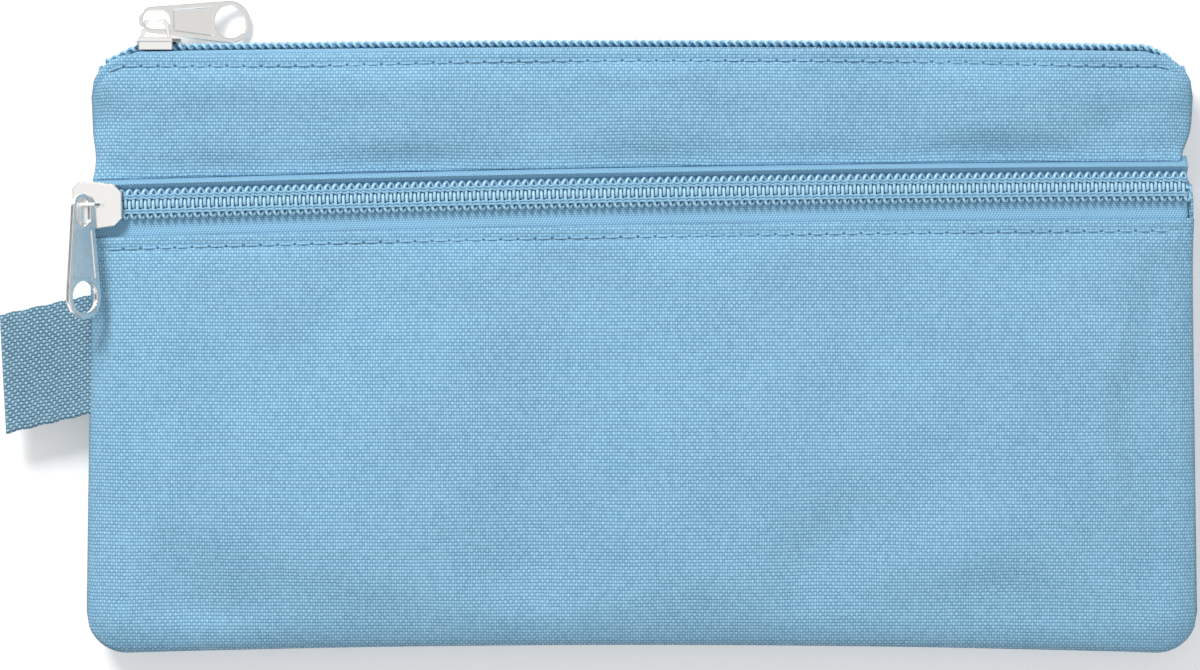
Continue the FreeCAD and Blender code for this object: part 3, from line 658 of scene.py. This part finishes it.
def turned_in(share):
    """A quarter round: sqrt(1 - (1 - share)^2), from 0 at the edge to 1 where it ends."""
    return np.sqrt(1 - (1 - np.clip(share, 0, 1)) ** 2)


def fold_lip(into):
    """A folded edge: it rounds off in its last 0.5 mm and dips along the stitches, 2.4 mm in."""
    return -0.28 * (1 - turned_in(into / 0.5)) - GROOVE_DEEP * bell(into - GROOVE_IN, GROOVE_WIDE)


def seam_roll(x, y):
    """Cloth turned under at the side and bottom seams, rounded in its last 0.8 mm."""
    into = np.minimum(side_edge(y) - np.abs(x), y - bottom_edge(x))
    return -0.3 * (1 - turned_in(into / 0.8))


def pocket_fold(x):
    """The pocket's folded top edge, below the zip."""
    return zip_line(x) - BELOW_ZIP


rise = np.linspace(0, 1, UP)
rise = np.sin(rise * np.pi / 2) * 0.25 + rise * 0.75
x, y, low, _ = panel_grid(ACROSS, rise, lambda x: bottom_edge(x) + corner_drop(x), pocket_fold)
into, from_side = pocket_fold(x) - y, side_edge(y) - np.abs(x)
z = front_level(x, y) + seam_roll(x, y) + fold_lip(into) * smooth(from_side / 3)
still = smooth(into / 9) * smooth(from_side / 9) * smooth((y - low) / 9)
for place in POCKET_DENTS:
    z = z + 1.35 * still * hump(x, y, *place)
pocket = sheet_from("pocket_panel", x, y, z, cloth)
print("pocket panel settled by, mm:", round(settle(pocket, still, 0.9), 2))
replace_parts(pocket, "front_pocket_panel")


# %% [markdown]
# The upper panel runs from the pocket zip to the top zip. Its lower edge goes down behind the
# rolled zip tape, so it falls away there, and its side edges are drawn in where the zip pulls
# on them. Its top edge is folded and stitched like the pocket's.
# %% Front upper panel
UPPER_DENTS = (
    (94, 42, 8, 6, -1.2), (70, 47, 12, 6, 0.5), (46, 44, 9, 6, -0.6), (20, 45, 14, 6, -0.5),
    (0, 47, 9, 6, 0.5), (-22, 43, 12, 6, -0.7), (-48, 47, 12, 6, 0.5), (-70, 43, 13, 6, -0.7),
    (-98, 44, 7, 8, -0.8))


def top_fold(x):
    """The folded top edge: 58.4 mm near both ends of the zip, a little higher between them."""
    return 58.4 + 1.1 * np.exp(-(((x - 12) / 62) ** 4)) - corner_drop(x)


def drawn_in(x, y):
    """How far the pocket zip pulls the side seam inwards, more on the right than on the left."""
    pull = np.where(x > 0, 2.2, 0.9) * bell(y - 37.5, 4.5)
    return np.sign(x) * pull * smooth((np.abs(x) - 92) / 16)


def upper_free(x, y):
    """How free the upper cloth is: 0 at its fold, sides and zip, and 1 in the middle."""
    above, from_side = y - zip_line(x) - ABOVE_ZIP, side_edge(y) - np.abs(x)
    return smooth((top_fold(x) - y) / 6) * smooth(from_side / 7) * smooth(above / 8)


def upper_level(x, y):
    """The front level, 0.9 mm fuller in its middle, 0.62 mm lower at the zip, with its dents."""
    into, above = top_fold(x) - y, y - zip_line(x) - ABOVE_ZIP
    z = front_level(x, y) + 0.9 * smooth((above - 1.5) / 7) * smooth(into / 9)
    z = z - 0.62 * (1 - smooth(above / 6))
    return z + 1.25 * upper_free(x, y) * sum(hump(x, y, *place) for place in UPPER_DENTS)


x, y, _, high = panel_grid(ACROSS, np.linspace(0, 1, 41), lambda x: zip_line(x) + ABOVE_ZIP, top_fold)
still = upper_free(x, y)
z = upper_level(x, y) + seam_roll(x, y) + fold_lip(high - y) * smooth((side_edge(y) - np.abs(x)) / 3)
x = x - drawn_in(x, y)
upper = sheet_from("upper_panel", x, y, z, cloth)
print("upper panel settled by, mm:", round(settle(upper, still, 0.5), 2))
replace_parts(upper, "front_upper_panel")


# %% [markdown]
# The back panel is one large cut that lies on the table. Its own weight holds it flat there, so
# it is made from the formula alone, with the same rounded corners. Inside the case a thinner
# divider keeps the pocket apart from the main space. It lies between the two panels, and waves
# by 0.3 mm, as loose lining does.
# %% Back panel and divider
BACK_TOP = 58.3


def back_fold(x):
    """The back's folded top edge, with its rounded corners."""
    return BACK_TOP - corner_drop(x)


rise = np.linspace(-1, 1, 91)
rise = 0.5 + 0.5 * (0.75 * rise + 0.25 * np.sin(rise * np.pi / 2))
x, y, _, _ = panel_grid(161, rise, lambda x: bottom_edge(x) + corner_drop(x), back_fold)
z = back_level(x, y)
back = sheet_from("back_cloth", x - drawn_in(x, y), y, z, cloth, flip=True)
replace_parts(back, "back_panel")

low_corner, high_corner = (np.array(v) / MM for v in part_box("pocket_divider"))
share, rise = np.meshgrid(np.linspace(-1, 1, 61), np.linspace(0, 1, 41), indexing="ij")
x = share * (high_corner[0] - 1.5)
y = low_corner[1] + 3 + rise * (high_corner[1] - low_corner[1] - 5)
z = 6.6 + 0.3 * np.sin(x / 19) * np.cos(y / 23)
divider = sheet_from("divider_cloth", x, y, z, lining, thick=0.3)
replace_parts(divider, "pocket_divider")


# %% [markdown]
# A zip is worked out flat first: along the chain, across it, and up from its tape. A small
# function then lays those three into the case. The pocket zip lies on the front and rises a
# degree. The top zip stands on edge and curves down at both corners. Each bows a little, as
# sewn zips do.
# %% Zip placing
PITCH, POCKET_ZIP_UP, TOP_ZIP_AT, TOP_ZIP_UP = 1.57, 10.6, 58.8, 8.0


def on_pocket(along, across, up):
    """Pocket chain: turned 1 degree, 10.6 mm up, bowed towards the top by 0.7 mm in its middle."""
    bow = ZIP_BOW * (1 - (along / ZIP_HALF) ** 2)
    x = along * np.cos(ZIP_TURN) - across * np.sin(ZIP_TURN)
    y = ZIP_AT + along * np.sin(ZIP_TURN) + across * np.cos(ZIP_TURN) + bow
    return np.stack([x, y, POCKET_ZIP_UP + up], -1)


def on_top(along, across, up):
    """Top chain: across runs down through the case, up runs towards +Y, and it sits 0.8 mm
    higher in the middle and drops 3.2 mm at its ends."""
    bow = 0.8 * (1 - (along / 97) ** 2).clip(0, 1) - 3.2 * smooth((np.abs(along) - 99) / 9)
    return np.stack([along, TOP_ZIP_AT + up + bow, TOP_ZIP_UP - across], -1)


print("pocket zip middle:", on_pocket(np.array(0.0), np.array(0.0), np.array(0.0)).round(2))


# %% [markdown]
# The tapes carry the coils. A tape is a strip of fine twill, so its cross section, carried
# along the zip, says all of its shape. The pocket's upper tape rolls up in a soft ridge beside
# the coil, the lower one lies flat under the pocket's fold, and the top tapes turn down into
# the case. All four are under 10 mm wide, so they are strips.
# %% Tapes
def tape_strip(name, place, across, up, ends, node, flip=False):
    """Carry the cross section (across, up) from ends[0] to ends[1] along the chain."""
    along, ribbon = np.meshgrid(np.linspace(*ends, 241), np.arange(len(across)), indexing="ij")
    spot = place(along, across[ribbon], up[ribbon])
    length = np.insert(np.cumsum(np.hypot(np.diff(across), np.diff(up))), 0, 0)
    flat = np.stack([along, length[ribbon]], -1).reshape(-1, 2)
    quads = grid_quads(*along.shape)
    strip = piece(name, spot.reshape(-1, 3), quads[:, ::-1] if flip else quads, flat, tape)
    give_wall(strip, 0.45)
    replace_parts(strip, node)


TAPE_UP, INNER, BEND_OUT, BEND = 0.26, 0.66, 3.3, 1.0
reach = np.linspace(INNER, 6.2, 36)
ridge = TAPE_UP + 1.9 * bell(reach - 4.1, 0.78) - 0.3 * smooth((reach - 4.8) / 0.6)
tape_strip("upper_tape_strip", on_pocket, reach, ridge, (-108.4, 108.2), "pocket_tape_upper")
reach = np.linspace(-8.6, -INNER, 24)
sag = TAPE_UP - 0.25 * bell(reach + 4.6, 1.0)
tape_strip("lower_tape_strip", on_pocket, reach, sag, (-108.6, 108.2), "pocket_tape_lower")
turn = np.linspace(0, np.pi / 2, 9)
for side, name in ((-1, "front"), (1, "back")):
    outer = BEND_OUT + BEND
    across = np.concatenate([[0.55, 1.8], BEND_OUT + BEND * np.sin(turn), [outer, outer]]) * side
    up = np.concatenate([[TAPE_UP, TAPE_UP], TAPE_UP - BEND + BEND * np.cos(turn), [-2.5, -4.2]])
    tape_strip(f"top_{name}_tape_strip", on_top, across, up, (-106.5, 106.5), f"top_tape_{name}",
               flip=side < 0)
print("tape strips: 4")


# %% [markdown]
# A coil zip has no separate teeth. Each side is one stiff filament wound into a flat spiral
# round a cord and sewn to the tape. Where a turn crosses the middle it is pressed into a head
# that locks between two heads of the other side. One turn is written as twelve points, repeated
# by array arithmetic, and a six-sided tube is carried along it, so a turn costs only some
# seventy faces. The other side of a chain is the same turn, mirrored and half a pitch further.
# %% Coils
SIDES = 6
TURN = np.array([  # share of a pitch along, mm across from the middle, mm up from the tape
    (0.00, -0.62, 1.05), (0.00, -0.42, 1.40), (0.00, 0.35, 1.52), (0.03, 1.10, 1.36), (0.13, 1.75, 1.34),
    (0.28, 2.45, 1.48), (0.46, 2.80, 1.22), (0.62, 2.80, 0.88), (0.80, 2.30, 0.66), (0.94, 1.30, 0.62),
    (1.00, 0.10, 0.62), (1.00, -0.46, 0.74)])
CHAIN_SIDES = (  # zip, edge, how it is placed, its direction across, its ends in mm, its shift
    ("pocket", "upper", on_pocket, 1, (-105.5, 108.4), 0.0),
    ("pocket", "lower", on_pocket, -1, (-105.5, 108.4), 0.5),
    ("top", "front", on_top, -1, (-106.5, 105.5), 0.0),
    ("top", "back", on_top, 1, (-106.5, 105.5), 0.5))


def tube(path, radius, guide):
    """A closed tube round a path of points: ring k is centre + r (cos a * n + sin a * b), where
    n is the guide made square to the path and b is square to both. Its ends are capped."""
    ahead = np.gradient(path, axis=0)
    ahead /= np.linalg.norm(ahead, axis=1, keepdims=True)
    n = guide - (guide * ahead).sum(1, keepdims=True) * ahead
    n /= np.linalg.norm(n, axis=1, keepdims=True)
    b = np.cross(ahead, n)
    a = np.linspace(0, 2 * np.pi, SIDES, endpoint=False)
    ring = np.cos(a)[None, :, None] * n[:, None] + np.sin(a)[None, :, None] * b[:, None]
    points = path[:, None] + np.broadcast_to(radius, len(path))[:, None, None] * ring
    quads = grid_quads(len(path), SIDES, wrap_columns=True)
    last = (len(path) - 1) * SIDES
    caps = np.array([[3, 2, 1, 0], [5, 4, 3, 0], [last, last + 1, last + 2, last + 3],
                     [last, last + 3, last + 4, last + 5]])
    return points.reshape(-1, 3), np.concatenate([quads, caps])


def gathered(parts):
    """Several (points, quads) as one pair, each part's corner numbers moved past those before."""
    starts = np.cumsum([0] + [len(p) for p, q in parts])
    points = np.concatenate([p for p, q in parts])
    return points, np.concatenate([q + start for (p, q), start in zip(parts, starts)])


def strand_piece(name, parts, material):
    """One mesh of several tubes."""
    points, quads = gathered(parts)
    return piece(name, points, quads, points[:, :2], material)


for zip_name, edge, place, side, ends, shift in CHAIN_SIDES:
    turns = np.arange(int((ends[1] - ends[0]) / PITCH))
    along = (ends[0] + (turns[:, None] + shift + TURN[:, 0]) * PITCH).ravel()
    across, up = np.tile(TURN[:, 1], len(turns)) * side, np.tile(TURN[:, 2], len(turns))
    radius = np.tile(np.where(TURN[:, 1] < 0.4, 0.34, 0.33), len(turns))
    turned = tube(place(along, across, up), radius, np.array([[1.0, 0.0, 0.0]]))
    spiral = strand_piece(f"{zip_name}_{edge}_spiral", [turned], filament)
    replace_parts(spiral, f"{zip_name}_coil_{edge}")
    print(spiral.name, "turns:", len(turns))


# %% [markdown]
# Two rows of sewing thread hold each spiral down. A thread rises over every turn and dips
# between turns: its height is 1.46 + 0.16 cos(2 pi along / pitch) mm. The cord inside the
# spiral is a plain tube.
# %% Cords and sewing thread on the zips
ROWS_OUT, ROW_UP, WAVE, ROW_RADIUS = (1.18, 1.72), 1.46, 0.16, 0.26
CORD_OUT, CORD_RADIUS = 1.55, 0.12


def straight_up(place, along):
    """The direction up from the tape, as the chain lies at each place along it."""
    return place(along, along * 0, 1 + along * 0) - place(along, along * 0, along * 0)


for zip_name, edge, place, side, ends, shift in CHAIN_SIDES:
    along = np.arange(ends[0], ends[1] - 0.2, PITCH / 6)
    wave = np.cos(2 * np.pi * ((along - ends[0]) / PITCH - shift - 0.06))
    rows = []
    for out in ROWS_OUT:
        path = place(along, side * (out + 0.1 * np.roll(wave, 1)), ROW_UP + WAVE * wave)
        rows.append(tube(path, ROW_RADIUS, straight_up(place, along)))
    core = np.arange(ends[0], ends[1] - 0.2, 4.0)
    path = place(core, side * CORD_OUT + core * 0, 1.0 + core * 0)
    rows.append(tube(path, CORD_RADIUS, straight_up(place, core)))
    sewn = strand_piece(f"{zip_name}_{edge}_threads", rows, thread)
    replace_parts(sewn, f"{zip_name}_cord_{edge}")
    print(sewn.name, "faces:", len(sewn.data.polygons))


# %% [markdown]
# The seams are lockstitched: each stitch is a short arc of thread that goes into the cloth at
# both ends. One arc of seven rings is repeated along the stitch line and lifted to the cloth's
# level there, which is the panel's own formula. Between two stitches a short dark spindle is
# painted shade: it stands for the shadow in the hole that the needle pressed.
# %% Topstitching
STITCH, LONG, STITCH_RADIUS, FIRST = 3.4, 2.6, 0.24, 2
UPWARDS = np.array([[0.0, 0.0, 1.0]])
# The needle holes are dark spindles: painted shade for the shadow inside each hole.
needle_pit_shade = strand_finish("needle_pit_shade", (52, 96, 128), (88, 136, 168), 0.9, 0.0)


def stitches(name, line_x, line_y, level, node):
    """A stitch every 3.4 mm of a line, up = level + 0.36 * (1 - (2 s)^2) - 0.02 with s from -0.5
    to 0.5 over its length, and between two stitches a dark spindle of painted shade for the shadowed
    needle hole, as a piece of its own named after the line."""
    run = np.insert(np.cumsum(np.hypot(np.diff(line_x), np.diff(line_y))), 0, 0)
    on_line = lambda at: (np.interp(at, run, line_x), np.interp(at, run, line_y))
    s = np.linspace(-0.5, 0.5, 7)
    arcs, hole_shades = [], []
    for start in np.arange(FIRST, run[-1] - FIRST, STITCH):
        x, y = on_line(start + s * LONG)
        path = np.stack([x, y, level(x, y) + 0.36 * (1 - (2 * s) ** 2) - 0.02], -1)
        arcs.append(tube(path, STITCH_RADIUS, UPWARDS))
    for middle in np.arange(FIRST + STITCH / 2, run[-1] - FIRST, STITCH):
        x, y = on_line(middle + np.array([-0.42, -0.2, 0.2, 0.42]))
        # Each spindle is painted shade that stands for a needle hole's shadow.
        hole_shades.append(tube(np.stack([x, y, level(x, y)], -1), [0.1, 0.27, 0.27, 0.1], UPWARDS))
    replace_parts(strand_piece(name, arcs, thread), node)
    strand_piece(name + "_holes", hole_shades, needle_pit_shade)
    print(name, "stitches:", len(arcs))


line = np.linspace(-106.5, 106.5, 300)
stitches("pocket_stitches", line, pocket_fold(line) - GROOVE_IN,
         lambda x, y: front_level(x, y) - GROOVE_DEEP, "pocket_stitching")
line = np.linspace(-106.0, 106.0, 300)
stitches("front_top_stitches", line, top_fold(line) - GROOVE_IN,
         lambda x, y: upper_level(x, y) - 0.38, "front_edge_stitching")
stitches("back_top_stitches", line, back_fold(line) - GROOVE_IN,
         lambda x, y: back_level(x, y) + 0.05, "back_edge_stitching")


# %% [markdown]
# The tab is a short loop of webbing, folded once and sewn into the left seam, for a finger to
# hold while the zip is pulled. Its section is two plies joined by a round fold. Carried across
# its width and sheared by 12.8 degrees, that gives the slanted tab.
# %% Side tab
ROOT, TIP, GAP, PLY, WIDE, SHEAR = -109.2, -127.0, 0.7, 0.9, 23.6, np.radians(12.8)
TAB_AT, PLY_POINTS = -1.1, 22

bend = np.linspace(np.pi / 2, 3 * np.pi / 2, 13)
turn_x = TIP + GAP + PLY / 2
straight = np.linspace(ROOT, turn_x + 0.5, PLY_POINTS)
section_x = np.concatenate([straight, turn_x + (GAP + 0.25) * np.cos(bend), straight[::-1]])
section_z = np.concatenate([np.full(PLY_POINTS, GAP), GAP * np.sin(bend), np.full(PLY_POINTS, -GAP)])
wide, ring = np.meshgrid(np.linspace(-WIDE / 2, WIDE / 2, 41), np.arange(len(section_x)), indexing="ij")
x = section_x[ring]
pinch = 1 - 0.6 * smooth((x - ROOT + 4) / 4)
y = TAB_AT + wide + np.tan(SHEAR) * (x + HALF_LONG) + 0.12 * np.sin(x * 1.4)
x = x - 0.05 * wide * smooth((ROOT - x) / 16)
z = SEAM_UP + section_z[ring] * pinch + 0.25 * np.sin(wide / 7) * smooth((ROOT - x) / 8)
run = np.insert(np.cumsum(np.hypot(np.diff(section_x), np.diff(section_z))), 0, 0)
flat = np.stack([run[ring], wide], -1).reshape(-1, 2)
tab = piece("tab_loop", np.stack([x, y, z], -1).reshape(-1, 3), grid_quads(*x.shape), flat, webbing,
            body=None)
give_wall(tab, PLY, 0)
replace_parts(tab, "side_tab")
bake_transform(tab)
print("tab length of webbing, mm:", round(float(run[-1]), 1))


# %% [markdown]
# At each end of the top zip a scrap of tape is folded over the chain and sewn into the corner,
# so that the coil can't run off. It is a small soft lump: a rounded box, each direction a
# signed root of a sine or a cosine.
# %% Zip ends
AROUND, RINGS, SQUARENESS = 24, 11, 0.6


def squared(value):
    """A signed root, which pushes a sine or cosine outwards: sign(v) * |v|^0.6."""
    return np.sign(value) * np.abs(value) ** SQUARENESS


def lump(name, node):
    """A rounded box: middle + half size times the squared directions, with its poles closed."""
    low, high = (np.array(v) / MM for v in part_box(node))
    turn, tilt = np.meshgrid(np.linspace(0, 2 * np.pi, AROUND, endpoint=False),
                             np.linspace(-np.pi / 2, np.pi / 2, RINGS + 2)[1:-1], indexing="ij")
    outwards = squared(np.cos(tilt))
    unit = np.stack([squared(np.cos(turn)) * outwards, squared(np.sin(turn)) * outwards,
                     squared(np.sin(tilt))], -1).reshape(-1, 3)
    poles = np.array([[0, 0, -1], [0, 0, 1]])
    south, north = AROUND * RINGS, AROUND * RINGS + 1
    first = np.arange(0, AROUND, 2) * RINGS
    second, third = first + RINGS, (first + 2 * RINGS) % (AROUND * RINGS)
    under = np.stack([first, np.full(len(first), south), third, second], 1)
    over = np.stack([first, second, third, np.full(len(first), north)], 1)
    over[:, :3] += RINGS - 1
    points = (low + high) / 2 + np.concatenate([unit, poles]) * (high - low) / 2
    quads = np.concatenate([grid_quads(AROUND, RINGS, wrap_rows=True), under, over])
    scrap = piece(name, points, quads, points[:, [0, 2]], tape)
    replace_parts(scrap, node)
    return (high - low).round(1)


print("left end, mm:", lump("left_zip_end", "top_zip_end_left"))
print("right end, mm:", lump("right_zip_end", "top_zip_end_right"))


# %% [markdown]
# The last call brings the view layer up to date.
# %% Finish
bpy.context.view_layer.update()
